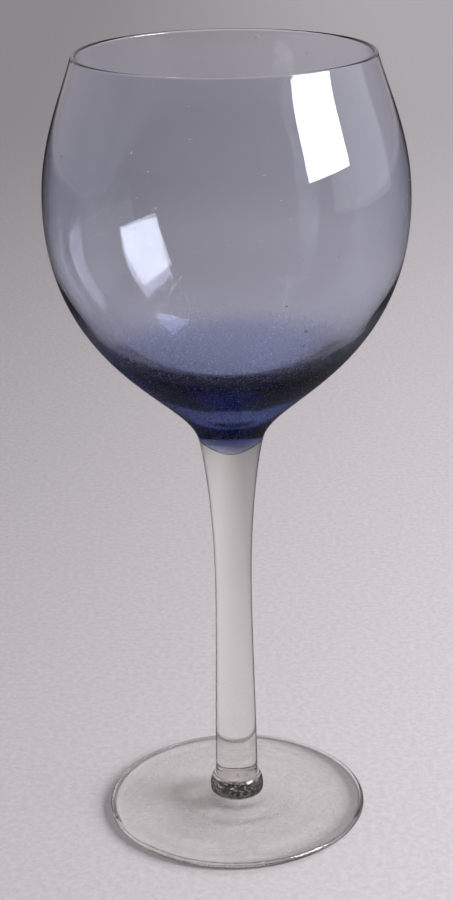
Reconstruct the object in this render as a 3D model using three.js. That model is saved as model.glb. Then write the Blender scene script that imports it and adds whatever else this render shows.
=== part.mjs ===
// A balloon red wine glass: a blue blown bowl fused to a clear stem, collar and foot.
// Millimetres, +Z up. The origin lies on the axis, on the surface that the glass stands on.
import * as THREE from "three";

// Foot: a disc with a rounded edge that stands on a flat ring
const footDiameter = 74.4;
const footEdgeThickness = 2.2;
const footSeatHeight = 4.6; // top of the foot, where the collar sits
const footSeatSlope = 2.0; // rise that the top makes close to the collar
const restRingWidth = 3.6;
const restRingInset = 1.6; // from the foot's edge to the rest ring
const kickHeight = 0.9; // hollow under the middle of the foot

// Collar: a bulged wafer between foot and stem
const collarHeight = 5.6;
const collarDiameter = 15.4;
const collarSeatDiameter = 14.0;
const collarBulgeHeight = 1.8; // widest point, above the foot

// Stem: drawn to a waist and flared into a trumpet under the bowl
const stemLength = 104.0;
const stemBaseDiameter = 12.1;
const stemWaistDiameter = 10.3;
const stemWaistHeight = 59.1; // above the stem's base
const stemTopDiameter = 17.6;
const stemDishDepth = 1.8; // hollow in the stem's top that the bowl's rounded end fills
const stemDishPull = 4.4; // roundness of that hollow
const trumpetLean = 0.208; // radians from upright where stem and bowl meet
const stemBasePull = 17.6; // how far the lower stem keeps its width
const stemWaistPull = 20.5; // how far the waist stays slim on the way up
const trumpetPull = 8.9; // how far the flare keeps its lean below the bowl

// Bowl: a blown balloon with a thin wall and a thick solid base
const bowlHeight = 105.8;
const bowlDiameter = 96.9;
const bowlBellyHeight = 67.1; // widest point, above the stem
const bowlBaseThickness = 9.4; // solid glass between the seam with the stem and the hollow
const bowlWall = 1.55; // at the belly
const bellyPull = 44.4; // roundness of the belly towards the base
const basePull = 14.2; // how far the flare keeps its lean above the stem
const shoulderPull = 16.6; // roundness of the belly towards the rim
const hollowPull = 8.9; // roundness of the hollow below its belly
const kneeInset = 8.85; // from the belly in to where the wall starts to thicken
const kneeDepth = 29.9; // from the belly down to there
const kneeDiameter = bowlDiameter - 2 * kneeInset; // hollow's width there
const kneeHeight = bowlBellyHeight - kneeDepth; // of that width, above the seam with the stem
const kneeLean = 0.545; // radians from upright there
const kneePull = 14.2; // how far the hollow keeps that lean upwards
const kneeDrop = 11.4; // how far it keeps that lean downwards
const funnelInset = 22.15; // from the belly in to where the hollow turns into a funnel
const funnelDepth = 41.9; // from the belly down to there
const funnelDiameter = bowlDiameter - 2 * funnelInset; // hollow's width there
const funnelHeight = bowlBellyHeight - funnelDepth; // of that width, above the seam with the stem
const funnelLean = 1.18; // radians from upright there
const funnelPull = 2.2; // how far the hollow keeps that lean upwards
const funnelDrop = 20.6; // how far it keeps that lean downwards
const funnelTipPull = 9.5; // roundness of the funnel's tip
const rimDiameter = 78.9;
const rimThickness = 1.2;
const rimLean = 0.284; // radians from upright at the rim
const rimPull = 11.1; // how far the wall keeps its lean below the rim

// Faceting
const turns = 48; // flats round the axis
const stretchLength = 6.0; // longest straight stretch along a curved outline
const fewestStretches = 4; // on a small curve

const clearGlass = new THREE.MeshStandardMaterial({
  color: 0xd8d6d2,
  roughness: 0.04,
  metalness: 0,
  transparent: true,
  opacity: 0.35,
});
const blueGlass = new THREE.MeshStandardMaterial({
  color: 0x5f679a,
  roughness: 0.04,
  metalness: 0,
  transparent: true,
  opacity: 0.6,
});

const at = (radius, height) => new THREE.Vector2(radius, height);
const line = (start, end) => new THREE.LineCurve(start, end);
const bend = (start, startPull, endPull, end) => new THREE.CubicBezierCurve(start, startPull, endPull, end);
const round = (start, corner, end) => new THREE.QuadraticBezierCurve(start, corner, end);

// A point that lies a distance from another along a lean, counted from straight up towards the outside
const leaning = (from, lean, distance) =>
  at(from.x + distance * Math.sin(lean), from.y + distance * Math.cos(lean));

// The points of an outline made of curves that follow each other
function outlineOf(curves) {
  const points = [curves[0].getPoint(0)];
  for (const curve of curves) {
    const needed = Math.ceil(curve.getLength() / stretchLength);
    const stretches = curve.isLineCurve ? 1 : Math.max(fewestStretches, needed);
    points.push(...curve.getPoints(stretches).slice(1));
  }
  return points;
}

// A solid turned about the axis, standing at a height
function turned(name, material, height, curves) {
  const piece = new THREE.Mesh(new THREE.LatheGeometry(outlineOf(curves), turns), material);
  piece.name = name;
  piece.rotation.x = Math.PI / 2; // a lathe turns about Y, and the glass stands along Z
  piece.position.z = height;
  return piece;
}

const footRadius = footDiameter / 2;
const collarRadius = collarDiameter / 2;
const collarSeatRadius = collarSeatDiameter / 2;
const stemBaseRadius = stemBaseDiameter / 2;
const stemWaistRadius = stemWaistDiameter / 2;
const stemTopRadius = stemTopDiameter / 2;
const bowlRadius = bowlDiameter / 2;
const rimRadius = rimDiameter / 2;

const collarBase = footSeatHeight;
const stemBase = collarBase + collarHeight;
const bowlBase = stemBase + stemLength;

function makeFoot() {
  const ringOuter = footRadius - restRingInset;
  const ringInner = ringOuter - restRingWidth;
  const edgeMiddle = footEdgeThickness / 2;
  const topEdge = footRadius - edgeMiddle;
  const topMiddle = (topEdge + collarSeatRadius) / 2;
  const kick = at(0, kickHeight);
  const innerRing = at(ringInner, 0);
  const outerRing = at(ringOuter, 0);
  const rimPoint = at(footRadius, edgeMiddle);
  const shoulder = at(topEdge, footEdgeThickness);
  const seat = at(collarSeatRadius, footSeatHeight);
  return turned("foot", clearGlass, 0, [
    round(kick, at(ringInner / 2, kickHeight), innerRing),
    line(innerRing, outerRing),
    round(outerRing, at(footRadius, 0), rimPoint),
    round(rimPoint, at(footRadius, footEdgeThickness), shoulder),
    bend(shoulder, at(topMiddle, footEdgeThickness), at(topMiddle, footSeatHeight - footSeatSlope), seat),
    line(seat, at(0, footSeatHeight)),
  ]);
}

function makeCollar() {
  const seat = at(collarSeatRadius, 0);
  const bulge = at(collarRadius, collarBulgeHeight);
  const top = at(stemBaseRadius, collarHeight);
  const bulgeTop = (collarBulgeHeight + collarHeight) / 2;
  return turned("foot_collar", clearGlass, collarBase, [
    line(at(0, 0), seat),
    round(seat, at(collarRadius, 0), bulge),
    bend(bulge, at(collarRadius, bulgeTop), at((collarRadius + stemBaseRadius) / 2, collarHeight), top),
    line(top, at(0, collarHeight)),
  ]);
}

function makeStem() {
  const base = at(stemBaseRadius, 0);
  const waist = at(stemWaistRadius, stemWaistHeight);
  const top = at(stemTopRadius, stemLength);
  const dishFloor = at(0, stemLength - stemDishDepth);
  return turned("stem", clearGlass, stemBase, [
    line(at(0, 0), base),
    bend(base, at(base.x, stemBasePull), at(waist.x, waist.y - stemBasePull), waist),
    bend(waist, at(waist.x, waist.y + stemWaistPull), leaning(top, trumpetLean, -trumpetPull), top),
    bend(
      top,
      at(top.x - stemDishPull / 2, top.y - stemDishDepth / 2),
      at(stemDishPull, dishFloor.y),
      dishFloor,
    ),
  ]);
}

function makeBowl() {
  const lip = rimThickness / 2;
  const rimHeight = bowlHeight - lip;
  const end = at(0, -stemDishDepth); // the bowl's rounded end fills the stem's dish
  const seat = at(stemTopRadius, 0);
  const belly = at(bowlRadius, bowlBellyHeight);
  const rimOuter = at(rimRadius, rimHeight);
  const rimInner = at(rimRadius - rimThickness, rimHeight);
  const rimTop = at(rimRadius - lip, bowlHeight);
  const hollowBelly = at(bowlRadius - bowlWall, bowlBellyHeight);
  const knee = at(kneeDiameter / 2, kneeHeight);
  const funnel = at(funnelDiameter / 2, funnelHeight);
  const tip = at(0, bowlBaseThickness);
  return turned("bowl", blueGlass, bowlBase, [
    bend(end, at(stemDishPull, end.y), at(seat.x - stemDishPull / 2, -stemDishDepth / 2), seat),
    bend(seat, leaning(seat, trumpetLean, basePull), at(belly.x, belly.y - bellyPull), belly),
    bend(belly, at(belly.x, belly.y + shoulderPull), leaning(rimOuter, -rimLean, -rimPull), rimOuter),
    round(rimOuter, at(rimOuter.x, bowlHeight), rimTop),
    round(rimTop, at(rimInner.x, bowlHeight), rimInner),
    bend(
      rimInner,
      leaning(rimInner, -rimLean, -rimPull),
      at(hollowBelly.x, hollowBelly.y + shoulderPull),
      hollowBelly,
    ),
    bend(
      hollowBelly,
      at(hollowBelly.x, hollowBelly.y - hollowPull),
      leaning(knee, kneeLean, kneePull),
      knee,
    ),
    bend(knee, leaning(knee, kneeLean, -kneeDrop), leaning(funnel, funnelLean, funnelPull), funnel),
    bend(funnel, leaning(funnel, funnelLean, -funnelDrop), at(funnelTipPull, tip.y), tip),
  ]);
}

const glass = new THREE.Group();
glass.name = "red_wine_glass";
glass.add(makeFoot(), makeCollar(), makeStem(), makeBowl());

export default glass;
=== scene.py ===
import math
import bpy
import bmesh
from mathutils import Matrix, Vector
from mathutils.geometry import interpolate_bezier


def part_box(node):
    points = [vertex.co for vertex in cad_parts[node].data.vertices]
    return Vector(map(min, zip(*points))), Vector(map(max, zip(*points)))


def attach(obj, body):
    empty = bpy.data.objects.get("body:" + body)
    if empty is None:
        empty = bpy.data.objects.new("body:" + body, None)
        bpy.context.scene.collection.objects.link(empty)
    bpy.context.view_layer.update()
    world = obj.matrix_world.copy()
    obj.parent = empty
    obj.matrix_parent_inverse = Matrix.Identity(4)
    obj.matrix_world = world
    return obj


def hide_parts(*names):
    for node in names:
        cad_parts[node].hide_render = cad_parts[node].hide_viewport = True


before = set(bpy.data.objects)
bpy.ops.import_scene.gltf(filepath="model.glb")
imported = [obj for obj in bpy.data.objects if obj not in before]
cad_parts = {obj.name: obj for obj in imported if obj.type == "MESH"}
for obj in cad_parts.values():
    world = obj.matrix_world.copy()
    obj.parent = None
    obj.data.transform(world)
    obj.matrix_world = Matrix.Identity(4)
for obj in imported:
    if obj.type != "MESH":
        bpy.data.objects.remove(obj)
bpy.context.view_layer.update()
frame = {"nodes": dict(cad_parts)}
mm = 0.001  # sizes below are millimetres, and Blender's are metres
quarterPull = 0.5523  # of the radius, gives a quarter circle
print("frame loaded:", ", ".join(frame["nodes"]))

scene = bpy.context.scene
scene.view_settings.view_transform = "Standard"
scene.cycles.caustics_reflective = False
scene.cycles.caustics_refractive = False
scene.cycles.max_bounces = 32
scene.cycles.glossy_bounces = 32  # light is handed down the stem from side to side
scene.cycles.transmission_bounces = 32
scene.cycles.transparent_max_bounces = 32


# outlines lie in the XZ plane, in stretches, and are turned about the glass's own axis

def at(radius, height):
    return Vector((radius * mm, 0.0, height * mm))


def leaning(point, lean, distance):
    return point + Vector((math.sin(lean), 0.0, math.cos(lean))) * distance * mm


def bend(start, startPull, endPull, end, steps):
    return interpolate_bezier(start, startPull, endPull, end, steps + 1)


def turnPiece(name, stretches, marks, turns=192):
    bm = bmesh.new()
    onLine = {mark: bm.edges.layers.float.new(mark + "Line") for mark in marks}
    onFace = {mark: bm.faces.layers.float.new(mark) for mark in marks}
    last = bm.verts.new(stretches[0][0])
    for place, stretch in enumerate(stretches):
        for point in stretch[1:]:
            line = bm.edges.new((last, bm.verts.new(point)))
            last = line.verts[1]
            for mark in marks:
                line[onLine[mark]] = float(place in marks[mark])
    bmesh.ops.spin(bm, geom=bm.verts[:] + bm.edges[:], cent=(0, 0, 0), axis=(0, 0, 1),
                   angle=math.tau, steps=turns, use_merge=True)
    bmesh.ops.remove_doubles(bm, verts=bm.verts[:], dist=1e-7)
    bmesh.ops.recalc_face_normals(bm, faces=bm.faces[:])
    for face in bm.faces:
        face.smooth = True
        for mark in marks:
            face[onFace[mark]] = float(any(edge[onLine[mark]] > 0.5 for edge in face.edges))
    for edge in bm.edges:
        if len(edge.link_faces) == 2 and edge.calc_face_angle(0.0) > math.radians(30):
            edge.smooth = False
    for mark in marks:
        bm.edges.layers.float.remove(bm.edges.layers.float[mark + "Line"])
    mesh = bpy.data.meshes.new(name)
    bm.to_mesh(mesh)
    bm.free()
    piece = bpy.data.objects.new(name, mesh)
    scene.collection.objects.link(piece)
    return piece


# heights of the melted seams, from the frame
weld = 0.01  # half the hairline left between two melted gathers
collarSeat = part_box("foot_collar")[0].z / mm
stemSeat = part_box("stem")[0].z / mm
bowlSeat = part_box("stem")[1].z / mm
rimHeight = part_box("bowl")[1].z / mm

bowl = {
    "radius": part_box("bowl")[1].x / mm, "bellyHeight": 67.1, "wall": 1.55, "baseThickness": 9.4,
    "rimRadius": 39.45, "rimThickness": 1.2, "rimLean": 0.284, "rimPull": 11.1,
    "shoulderPull": 16.6, "bellyPull": 44.4, "basePull": 14.2,
    "kneeRadius": 39.6, "kneeHeight": 37.2, "kneeLean": 0.545,  # where the wall starts to thicken
    "hollowPull": 8.9, "kneePull": 14.2, "kneeDrop": 11.4,
    "funnelRadius": 26.3, "funnelHeight": 25.2, "funnelLean": 1.18,  # where the hollow becomes a funnel
    "funnelPull": 2.2, "funnelDrop": 20.6, "tipPull": 9.5,
}
stem = {
    "baseRadius": 6.05, "waistRadius": 5.15, "waistHeight": 59.1, "topRadius": 8.8, "topLean": 0.208,
    "basePull": 17.6, "waistPull": 20.5, "trumpetPull": 8.9,
}
seam = {  # the blue ends in a rounded drop, this many steps up the flare
    "place": 8, "drop": 6.6, "tipPull": 2.2, "edgePull": 3.4, "edgeDrop": 2.64,
}
collar = {"radius": 7.7, "seatRadius": 7.0, "bulgeHeight": 1.8, "roundness": 0.6}
foot = {
    "radius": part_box("foot")[1].x / mm, "edge": 2.2, "seatSlope": 2.0, "ringWidth": 3.6, "ringInset": 1.6,
    "kick": 0.9,
}


def flareBend(b):  # from the stem's top out to the belly
    seat = at(stem["topRadius"], bowlSeat)
    belly = at(b["radius"], bowlSeat + b["bellyHeight"])
    bellyPull = at(b["radius"], bowlSeat + b["bellyHeight"] - b["bellyPull"])
    return bend(seat, leaning(seat, stem["topLean"], b["basePull"]), bellyPull, belly, 90)


def seamBend(flare, lift):  # from the axis out to the seam
    edge = flare[seam["place"]] + at(0, lift)
    drop = at(0, edge.z / mm - seam["drop"])
    edgePull = edge - at(seam["edgePull"], seam["edgeDrop"])
    return bend(drop, drop + at(seam["tipPull"], 0), edgePull, edge, 24)


def makeBowl(b):
    lip = b["rimThickness"] / 2
    arc = lip * quarterPull
    up = Vector((0, 0, mm))
    belly = at(b["radius"], bowlSeat + b["bellyHeight"])
    rimOuter = at(b["rimRadius"], rimHeight - lip)
    rimInner = at(b["rimRadius"] - b["rimThickness"], rimHeight - lip)
    rimTop = at(b["rimRadius"] - lip, rimHeight)
    rimPull = leaning(rimOuter, -b["rimLean"], -b["rimPull"])
    hollowRimPull = leaning(rimInner, -b["rimLean"], -b["rimPull"])
    hollowBelly = at(b["radius"] - b["wall"], bowlSeat + b["bellyHeight"])
    knee = at(b["kneeRadius"], bowlSeat + b["kneeHeight"])
    kneePull = leaning(knee, b["kneeLean"], b["kneePull"])
    kneeDrop = leaning(knee, b["kneeLean"], -b["kneeDrop"])
    funnel = at(b["funnelRadius"], bowlSeat + b["funnelHeight"])
    funnelPull = leaning(funnel, b["funnelLean"], b["funnelPull"])
    funnelDrop = leaning(funnel, b["funnelLean"], -b["funnelDrop"])
    tip = at(0, bowlSeat + b["baseThickness"])
    flare = flareBend(b)
    return turnPiece("blueBowl", [
        seamBend(flare, weld),
        [flare[seam["place"]] + up * weld] + flare[seam["place"] + 1:],
        bend(belly, belly + up * b["shoulderPull"], rimPull, rimOuter, 40),
        bend(rimOuter, rimOuter + up * arc, rimTop + at(arc, 0), rimTop, 6),
        bend(rimTop, rimTop - at(arc, 0), rimInner + up * arc, rimInner, 6),
        bend(rimInner, hollowRimPull, hollowBelly + up * b["shoulderPull"], hollowBelly, 40),
        bend(hollowBelly, hollowBelly - up * b["hollowPull"], kneePull, knee, 40),
        bend(knee, kneeDrop, funnelPull, funnel, 40),
        bend(funnel, funnelDrop, tip + at(b["tipPull"], 0), tip, 50),
    ], {"fused": [0], "edge": [3, 4]})


def makeStem(s):
    low = stemSeat + weld
    base = at(s["baseRadius"], low)
    waist = at(s["waistRadius"], stemSeat + s["waistHeight"])
    top = at(s["topRadius"], bowlSeat)
    flare = flareBend(bowl)
    up = Vector((0, 0, mm))
    return turnPiece("clearStem", [
        [at(0, low), at(s["baseRadius"] * 0.5, low), base],
        bend(base, base + up * s["basePull"], waist - up * s["basePull"], waist, 40),
        bend(waist, waist + up * s["waistPull"], leaning(top, s["topLean"], -s["trumpetPull"]), top, 50),
        flare[:seam["place"]] + [flare[seam["place"]] - up * weld],
        seamBend(flare, -weld)[::-1],
    ], {"fused": [0, 4]})


def makeCollar(c):
    low = collarSeat + weld
    high = stemSeat - weld
    seat = at(c["seatRadius"], low)
    bulge = at(c["radius"], collarSeat + c["bulgeHeight"])
    top = at(stem["baseRadius"], high)
    underside = seat + at((c["radius"] - c["seatRadius"]) * c["roundness"], 0)
    side = bulge - at(0, c["bulgeHeight"] * c["roundness"])
    shoulder = at(c["radius"], (bulge.z + top.z) / 2 / mm)
    neck = at((c["radius"] + stem["baseRadius"]) / 2, high)
    return turnPiece("footCollar", [
        [at(0, low), at(c["seatRadius"] * 0.5, low), seat],
        bend(seat, underside, side, bulge, 10),
        bend(bulge, shoulder, neck, top, 20),
        [top, at(stem["baseRadius"] * 0.5, high), at(0, high)],
    ], {"fused": [0, 3], "edge": [1, 2]})


def makeFoot(f):
    high = collarSeat - weld
    ringOuter = f["radius"] - f["ringInset"]
    ringInner = ringOuter - f["ringWidth"]
    half = f["edge"] / 2
    arc = half * quarterPull
    topEdge = f["radius"] - half
    topMiddle = (topEdge + collar["seatRadius"]) / 2
    kick = at(0, f["kick"])
    kickEdge = at(ringInner * 2 / 3, f["kick"] * 2 / 3)
    rim = at(f["radius"], half)
    shoulder = at(topEdge, f["edge"])
    seat = at(collar["seatRadius"], high)
    return turnPiece("discFoot", [
        bend(kick, at(ringInner / 3, f["kick"]), kickEdge, at(ringInner, 0), 24),
        [at(ringInner, 0), at(ringOuter, 0)],
        bend(at(ringOuter, 0), at(ringOuter + arc, 0), at(f["radius"], half - arc), rim, 10),
        bend(rim, at(f["radius"], half + arc), at(topEdge + arc, f["edge"]), shoulder, 10),
        bend(shoulder, at(topMiddle, f["edge"]), at(topMiddle, collarSeat - f["seatSlope"]), seat, 30),
        [seat, at(collar["seatRadius"] * 0.5, high), at(0, high)],
    ], {"fused": [5], "edge": [2, 3]})


# materials

def newTree(name):
    material = bpy.data.materials.new(name)
    material.use_nodes = True
    material.node_tree.nodes.clear()
    return material, material.node_tree


def node(tree, kind, inputs=None, **settings):
    made = tree.nodes.new("ShaderNode" + kind)
    for key, value in settings.items():
        setattr(made, key, value)
    for key, value in (inputs or {}).items():
        if isinstance(value, bpy.types.NodeSocket):
            tree.links.new(value, made.inputs[key])
        else:
            made.inputs[key].default_value = value
    return made.outputs


def calc(tree, operation, first, second=0.0, third=0.0):
    return node(tree, "Math", {0: first, 1: second, 2: third}, operation=operation)[0]


def between(tree, value, low, high, bottom=0.0, top=1.0):  # eases from bottom to top
    limits = {"Value": value, "From Min": low, "From Max": high, "To Min": bottom, "To Max": top}
    return node(tree, "MapRange", limits, interpolation_type="SMOOTHSTEP")[0]


def attribute(tree, name):
    return node(tree, "Attribute", attribute_name=name)["Fac"]


finish = {  # what both glasses have in common
    "refraction": 1.5, "seedSize": 0.08, "scratchSize": 0.12, "scratchStretch": (40, 700, 700),
    "scratchTurns": ((0.2, 0.3, 0.4), (0.5, -0.8, 0.9), (-0.3, 0.6, 2.2)),
    "gritScale": 2400.0, "gritStart": 0.58, "gritFull": 0.66, "gritShare": 0.8,
    "ringStep": 0.0075, "ringDepth": 1.1, "ringTop": 0.0055, "ringFull": 0.0045,  # only on the spun foot
    "pitStrength": 0.6, "pitDepth": 0.0001, "pitRoughness": 0.45,
    "outlineStart": 0.55, "outlineFull": 0.9,  # how far a face turns away before the painted dark outline starts and is full, standing in for the dark room
}


def sparse(tree, place, scale, share, size):  # soft spots in a few cells of a scatter
    cells = node(tree, "TexVoronoi", {"Vector": place, "Scale": scale})
    chosen = calc(tree, "LESS_THAN", node(tree, "SeparateColor", {0: cells["Color"]})[0], share)
    return calc(tree, "MULTIPLY", between(tree, cells["Distance"], size, size * 0.3), chosen)


def scratches(tree, place, turn, share):  # hairs that lie along one way
    lie = {"Vector": place, "Rotation": turn, "Scale": finish["scratchStretch"]}
    return sparse(tree, node(tree, "Mapping", lie)[0], 1.0, share, finish["scratchSize"])


def wearMarks(tree, place, height, look):  # seeds, hairline scratches and a worn lower bowl
    marks = sparse(tree, place, look["seedScale"], look["seedShare"], finish["seedSize"])
    for turn in finish["scratchTurns"]:
        marks = calc(tree, "MAXIMUM", marks, scratches(tree, place, turn, look["scratchShare"]))
    worn = between(tree, height, look["wearTop"], look["wearFull"])
    grit = node(tree, "TexNoise", {"Vector": place, "Scale": finish["gritScale"], "Detail": 2.0})[0]
    grit = between(tree, grit, finish["gritStart"], finish["gritFull"])
    grit = calc(tree, "MULTIPLY", grit, calc(tree, "MULTIPLY", worn, finish["gritShare"]))
    return calc(tree, "MAXIMUM", marks, grit)


def handMadeWave(tree, place, look):  # slow ripples, and the rings of the spun foot
    apart = node(tree, "SeparateXYZ", {0: place})
    drawn = node(tree, "Mapping", {"Vector": place, "Scale": look["ripple"]})[0]
    ripple = node(tree, "TexNoise", {"Vector": drawn, "Scale": 1.0, "Detail": 1.5})[0]
    flat = node(tree, "CombineXYZ", {0: apart[0], 1: apart[1]})[0]
    reach = node(tree, "VectorMath", {0: flat}, operation="LENGTH")["Value"]
    rings = calc(tree, "SINE", calc(tree, "MULTIPLY", reach, math.tau / finish["ringStep"]))
    low = between(tree, apart[2], finish["ringTop"], finish["ringFull"])
    return calc(tree, "MULTIPLY_ADD", calc(tree, "MULTIPLY", rings, low), finish["ringDepth"], ripple)


def outlined(tree, height, look):  # painted shade: thin dark lines where clear glass turns away from the eye, standing in for the dark room it would show there
    grazing = node(tree, "LayerWeight", {"Blend": 0.5})["Facing"]
    line = between(tree, grazing, finish["outlineStart"], finish["outlineFull"])
    standing = between(tree, height, finish["ringFull"], finish["ringTop"])  # all but the flat of the foot
    line = calc(tree, "MULTIPLY", line, calc(tree, "MAXIMUM", standing, attribute(tree, "edge")))
    return node(tree, "Mix", {0: line, 6: (1, 1, 1, 1), 7: look["outline"]}, data_type="RGBA")[2]


def makeGlass(name, look):
    material, tree = newTree(name)
    place = node(tree, "TexCoord")["Object"]
    height = node(tree, "SeparateXYZ", {0: place})[2]
    fused = attribute(tree, "fused")
    marks = wearMarks(tree, place, height, look)
    wave = {"Height": handMadeWave(tree, place, look), "Strength": 1.0, "Distance": look["rippleDepth"]}
    pitted = {
        "Height": marks, "Strength": finish["pitStrength"], "Distance": finish["pitDepth"],
        "Normal": node(tree, "Bump", wave)[0],
    }
    roughness = calc(tree, "MULTIPLY", marks, finish["pitRoughness"])
    glass = node(tree, "BsdfPrincipled", {
        "Base Color": outlined(tree, height, look), "Transmission Weight": 1.0,
        "Normal": node(tree, "Bump", pitted, invert=True)[0],
        "Roughness": calc(tree, "MULTIPLY", roughness, calc(tree, "SUBTRACT", 1.0, fused)),
        "IOR": calc(tree, "MULTIPLY_ADD", fused, 1 - finish["refraction"], finish["refraction"]),
    })[0]
    shades = {0: attribute(tree, "edge"), 6: look["shade"], 7: look["edgeShade"]}
    through = node(tree, "BsdfTransparent", {0: node(tree, "Mix", shades, data_type="RGBA")[2]})[0]
    rays = node(tree, "LightPath")
    if "paintedReflectionShare" in look:  # painted shade: reflection rays that reach the clear glass from outside pass through it dimmed, so the dark base hardly mirrors what stands below it
        aside = node(tree, "BsdfTransparent", {0: look["paintedReflectionShare"]})[0]
        inside = node(tree, "NewGeometry")["Backfacing"]
        aside = node(tree, "MixShader", {0: inside, 1: aside, 2: glass})[0]
        glass = node(tree, "MixShader", {0: rays["Is Reflection Ray"], 1: glass, 2: aside})[0]
    for ray in ("Is Shadow Ray", "Is Diffuse Ray"):  # light on the table comes straight through the glass
        glass = node(tree, "MixShader", {0: rays[ray], 1: glass, 2: through})[0]
    tint = node(tree, "VolumeAbsorption", {"Color": look["tint"], "Density": look["density"]})[0]
    node(tree, "OutputMaterial", {"Surface": glass, "Volume": tint})
    return material


blueLook = {
    "tint": (0.20, 0.31, 0.66, 1), "density": 140.0,
    "shade": (0.97, 0.97, 0.98, 1), "edgeShade": (0.5, 0.5, 0.5, 1),
    "seedScale": 110.0, "seedShare": 0.16, "scratchShare": 0.025, "wearTop": 0.158, "wearFull": 0.132,
    "ripple": (38, 38, 30), "rippleDepth": 0.00004, "outline": (1, 1, 1, 1),  # no painted dark outline, the blue is dark enough by itself
}
clearLook = {
    "tint": (0.90, 0.85, 0.74, 1), "density": 20.0,
    "shade": (1, 1, 1, 1), "edgeShade": (0.42, 0.42, 0.42, 1), "paintedReflectionShare": (0.15, 0.15, 0.15, 1),
    "seedScale": 160.0, "seedShare": 0.04, "scratchShare": 0.006, "wearTop": 0.002, "wearFull": 0.001,
    # the outline colour is painted shade on the grazing edges of the clear glass
    "ripple": (150, 150, 22), "rippleDepth": 0.00004, "outline": (0.16, 0.13, 0.10, 1),
}
blueGlass = makeGlass("smokyBlueGlass", blueLook)
clearGlass = makeGlass("clearGlass", clearLook)

pieces = [
    (makeBowl(bowl), "bowl", "blue_glass", blueGlass),
    (makeStem(stem), "stem", "clear_glass", clearGlass),
    (makeCollar(collar), "foot_collar", "clear_glass", clearGlass),
    (makeFoot(foot), "foot", "clear_glass", clearGlass),
]
for piece, nodeName, slot, material in pieces:
    piece.data.materials.append(material)
    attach(piece, "root")
    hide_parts(nodeName)
print("glass turned:", ", ".join(piece.name for piece, nodeName, slot, material in pieces))


# stage: a paper floor that fades into a backdrop of its own colour
stage = {
    "radius": 5.0, "fadeStart": 1.7, "fadeEnd": 3.8, "paper": (0.62, 0.58, 0.61), "grain": 0.08,
    "grainScale": 500.0,
    "paintedFalloffAcross": (0.748, 1.23), "paintedFalloffAhead": (1.0, 0.51),  # painted shade: the paper is painted darker to the left and the back, standing in for light falling off away from the lamps
    "backdrop": (0.30, 0.275, 0.29, 1), "room": (0.02, 0.02, 0.023, 1), "roomStart": 0.28, "roomFull": 0.44,
    "paintedReflectionShare": 0.1,  # painted shade in reflections: share of the floor's and room's brightness left when they are seen in reflections
    "paintedBackRise": 0.25, "paintedBackGlow": 0.9,  # painted reflection: the backdrop seen in reflections, as on the foot, is painted higher and brighter
}


def bouncedInto(tree, rays, dark):  # rays that see floor and room painted darker: reflected once towards the dark side, or many times anywhere
    once = calc(tree, "MULTIPLY", calc(tree, "GREATER_THAN", rays["Glossy Depth"], 0.5), dark)
    return calc(tree, "MAXIMUM", once, calc(tree, "GREATER_THAN", rays["Glossy Depth"], 2.5))


def makeFloor(s):
    bm = bmesh.new()
    bmesh.ops.create_circle(bm, cap_ends=True, segments=96, radius=s["radius"])
    mesh = bpy.data.meshes.new("paperFloor")
    bm.to_mesh(mesh)
    bm.free()
    floor = bpy.data.objects.new("paperFloor", mesh)
    scene.collection.objects.link(floor)
    material, tree = newTree("palePaper")
    place = node(tree, "TexCoord")["Object"]
    fibres = {"Vector": place, "Scale": s["grainScale"], "Detail": 4.0, "Roughness": 0.7}
    grain = between(tree, node(tree, "TexNoise", fibres)[0], 0.3, 0.7, 1 - s["grain"], 1 + s["grain"])
    reach = node(tree, "VectorMath", {0: place}, operation="LENGTH")["Value"]
    rays = node(tree, "LightPath")
    apart = node(tree, "SeparateXYZ", {0: place})
    # painted shade: the paper darkens to the left and the back in place of light fall-off
    paintedFalloffAcross = between(tree, apart[0], -0.2, 0.2, *s["paintedFalloffAcross"])
    paintedFalloffAhead = between(tree, apart[1], -0.4, 1.1, *s["paintedFalloffAhead"])
    shade = calc(tree, "MULTIPLY", paintedFalloffAcross, paintedFalloffAhead)
    inFront = between(tree, apart[1], -0.06, -0.2)  # floor in front, which reflections show painted darker
    # painted shade: floor seen in reflections is painted darker than it is lit
    bounced = calc(tree, "MAXIMUM", bouncedInto(tree, rays, inFront), rays["Is Reflection Ray"])
    level = calc(tree, "MULTIPLY_ADD", bounced, s["paintedReflectionShare"] - 1, 1.0)
    level = calc(tree, "MULTIPLY", calc(tree, "MULTIPLY", grain, shade), level)
    colour = node(tree, "VectorMath", {0: s["paper"], "Scale": level}, operation="SCALE")[0]
    matt = {"Base Color": colour, "Roughness": 0.9, "Specular IOR Level": 0.1}
    paper = node(tree, "BsdfPrincipled", matt)[0]
    fade = between(tree, reach, s["fadeStart"], s["fadeEnd"])
    gone = node(tree, "BsdfTransparent")[0]
    node(tree, "OutputMaterial", {"Surface": node(tree, "MixShader", {0: fade, 1: paper, 2: gone})[0]})
    mesh.materials.append(material)


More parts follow.
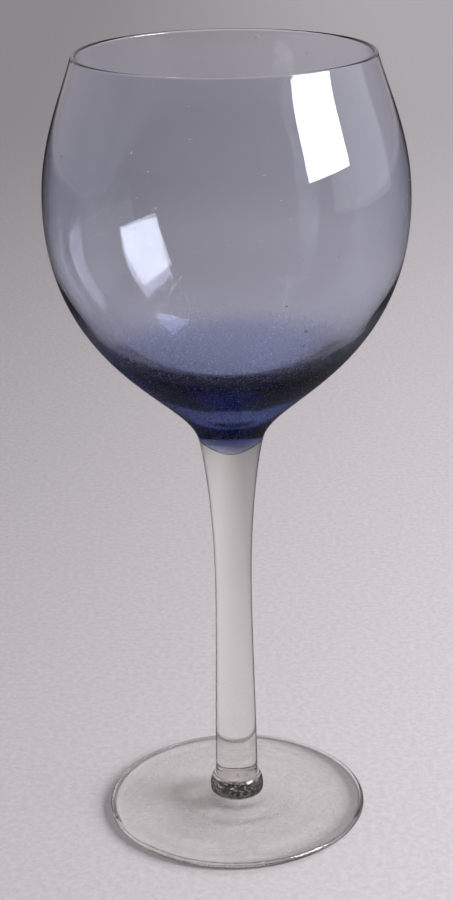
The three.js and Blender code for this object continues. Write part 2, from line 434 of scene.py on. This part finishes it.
def makeWorld(s):
    world = bpy.data.worlds.new("softRoom")
    world.use_nodes = True
    scene.world = world
    tree = world.node_tree
    tree.nodes.clear()
    way = node(tree, "SeparateXYZ", {0: node(tree, "TexCoord")["Generated"]})
    rays = node(tree, "LightPath")
    # painted reflection: reflection rays towards the back see the backdrop higher and brighter
    behind = calc(tree, "MULTIPLY", calc(tree, "MAXIMUM", way[1], 0.0), rays["Is Reflection Ray"])
    height = calc(tree, "MULTIPLY_ADD", behind, -s["paintedBackRise"], way[2])
    above = between(tree, height, s["roomStart"], s["roomFull"])
    colour = node(tree, "Mix", {0: above, 6: s["backdrop"], 7: s["room"]}, data_type="RGBA")[2]
    # painted shade: the room seen after a reflection towards the front, or after many, is painted darker
    bounced = bouncedInto(tree, rays, between(tree, way[1], 0.1, -0.2))
    level = calc(tree, "MULTIPLY_ADD", bounced, s["paintedReflectionShare"] - 1, 1.0)
    level = calc(tree, "MULTIPLY_ADD", behind, s["paintedBackGlow"], level)
    light = node(tree, "Background", {"Color": colour, "Strength": level})[0]
    node(tree, "OutputWorld", {"Surface": light})


def addSoftbox(name, place, target, size, radiance):  # seen in the glass alone
    lamp = bpy.data.lights.new(name, "AREA")
    lamp.shape = "RECTANGLE"
    lamp.size, lamp.size_y = size
    lamp.energy = radiance * math.pi * size[0] * size[1]  # watts that give this radiance
    box = bpy.data.objects.new(name, lamp)
    box.location = place
    box.rotation_mode = "QUATERNION"
    box.rotation_quaternion = (Vector(target) - Vector(place)).to_track_quat("-Z", "Y")
    box.visible_camera = False
    box.visible_diffuse = False
    scene.collection.objects.link(box)


def addSun(name, place, angle, strength):  # soft light that is even all over the floor
    lamp = bpy.data.lights.new(name, "SUN")
    lamp.angle = angle
    lamp.energy = strength
    sun = bpy.data.objects.new(name, lamp)
    sun.rotation_mode = "QUATERNION"
    sun.rotation_quaternion = Vector(place).to_track_quat("Z", "Y")
    sun.visible_camera = False
    sun.visible_glossy = False
    sun.visible_transmission = False
    scene.collection.objects.link(sun)


makeFloor(stage)
makeWorld(stage)
addSoftbox("sideSoftboxGlow", (0.759, -0.336, 0.536), (-0.031, 0.014, 0.336), (0.48, 0.46), 24.0)
addSoftbox("sideWall", (1.5, 0.1, 0.40), (0, 0, 0.2), (1.5, 0.9), 0.6)
addSun("sideSun", (0.759, -0.13, 0.35), 0.55, 5.85)
addSun("backSun", (1.255, 1.279, 0.894), 0.36, 1.6)
print("stage and lamps set")


view = {"place": (0.0, -0.50263, 0.30013), "pitch": 0.3600, "yaw": 0.0025, "roll": -0.0189, "lens": 77.938}


def addCamera(v):
    camera = bpy.data.cameras.new("photoView")
    camera.sensor_width = 36.0
    camera.lens = v["lens"]
    camera.clip_start = 0.02
    camera.clip_end = 50.0
    eye = bpy.data.objects.new("photoView", camera)
    turn = (Matrix.Rotation(v["yaw"], 4, "Z") @ Matrix.Rotation(math.pi / 2 - v["pitch"], 4, "X")
            @ Matrix.Rotation(v["roll"], 4, "Z"))
    eye.matrix_world = Matrix.Translation(v["place"]) @ turn
    scene.collection.objects.link(eye)
    scene.camera = eye


addCamera(view)
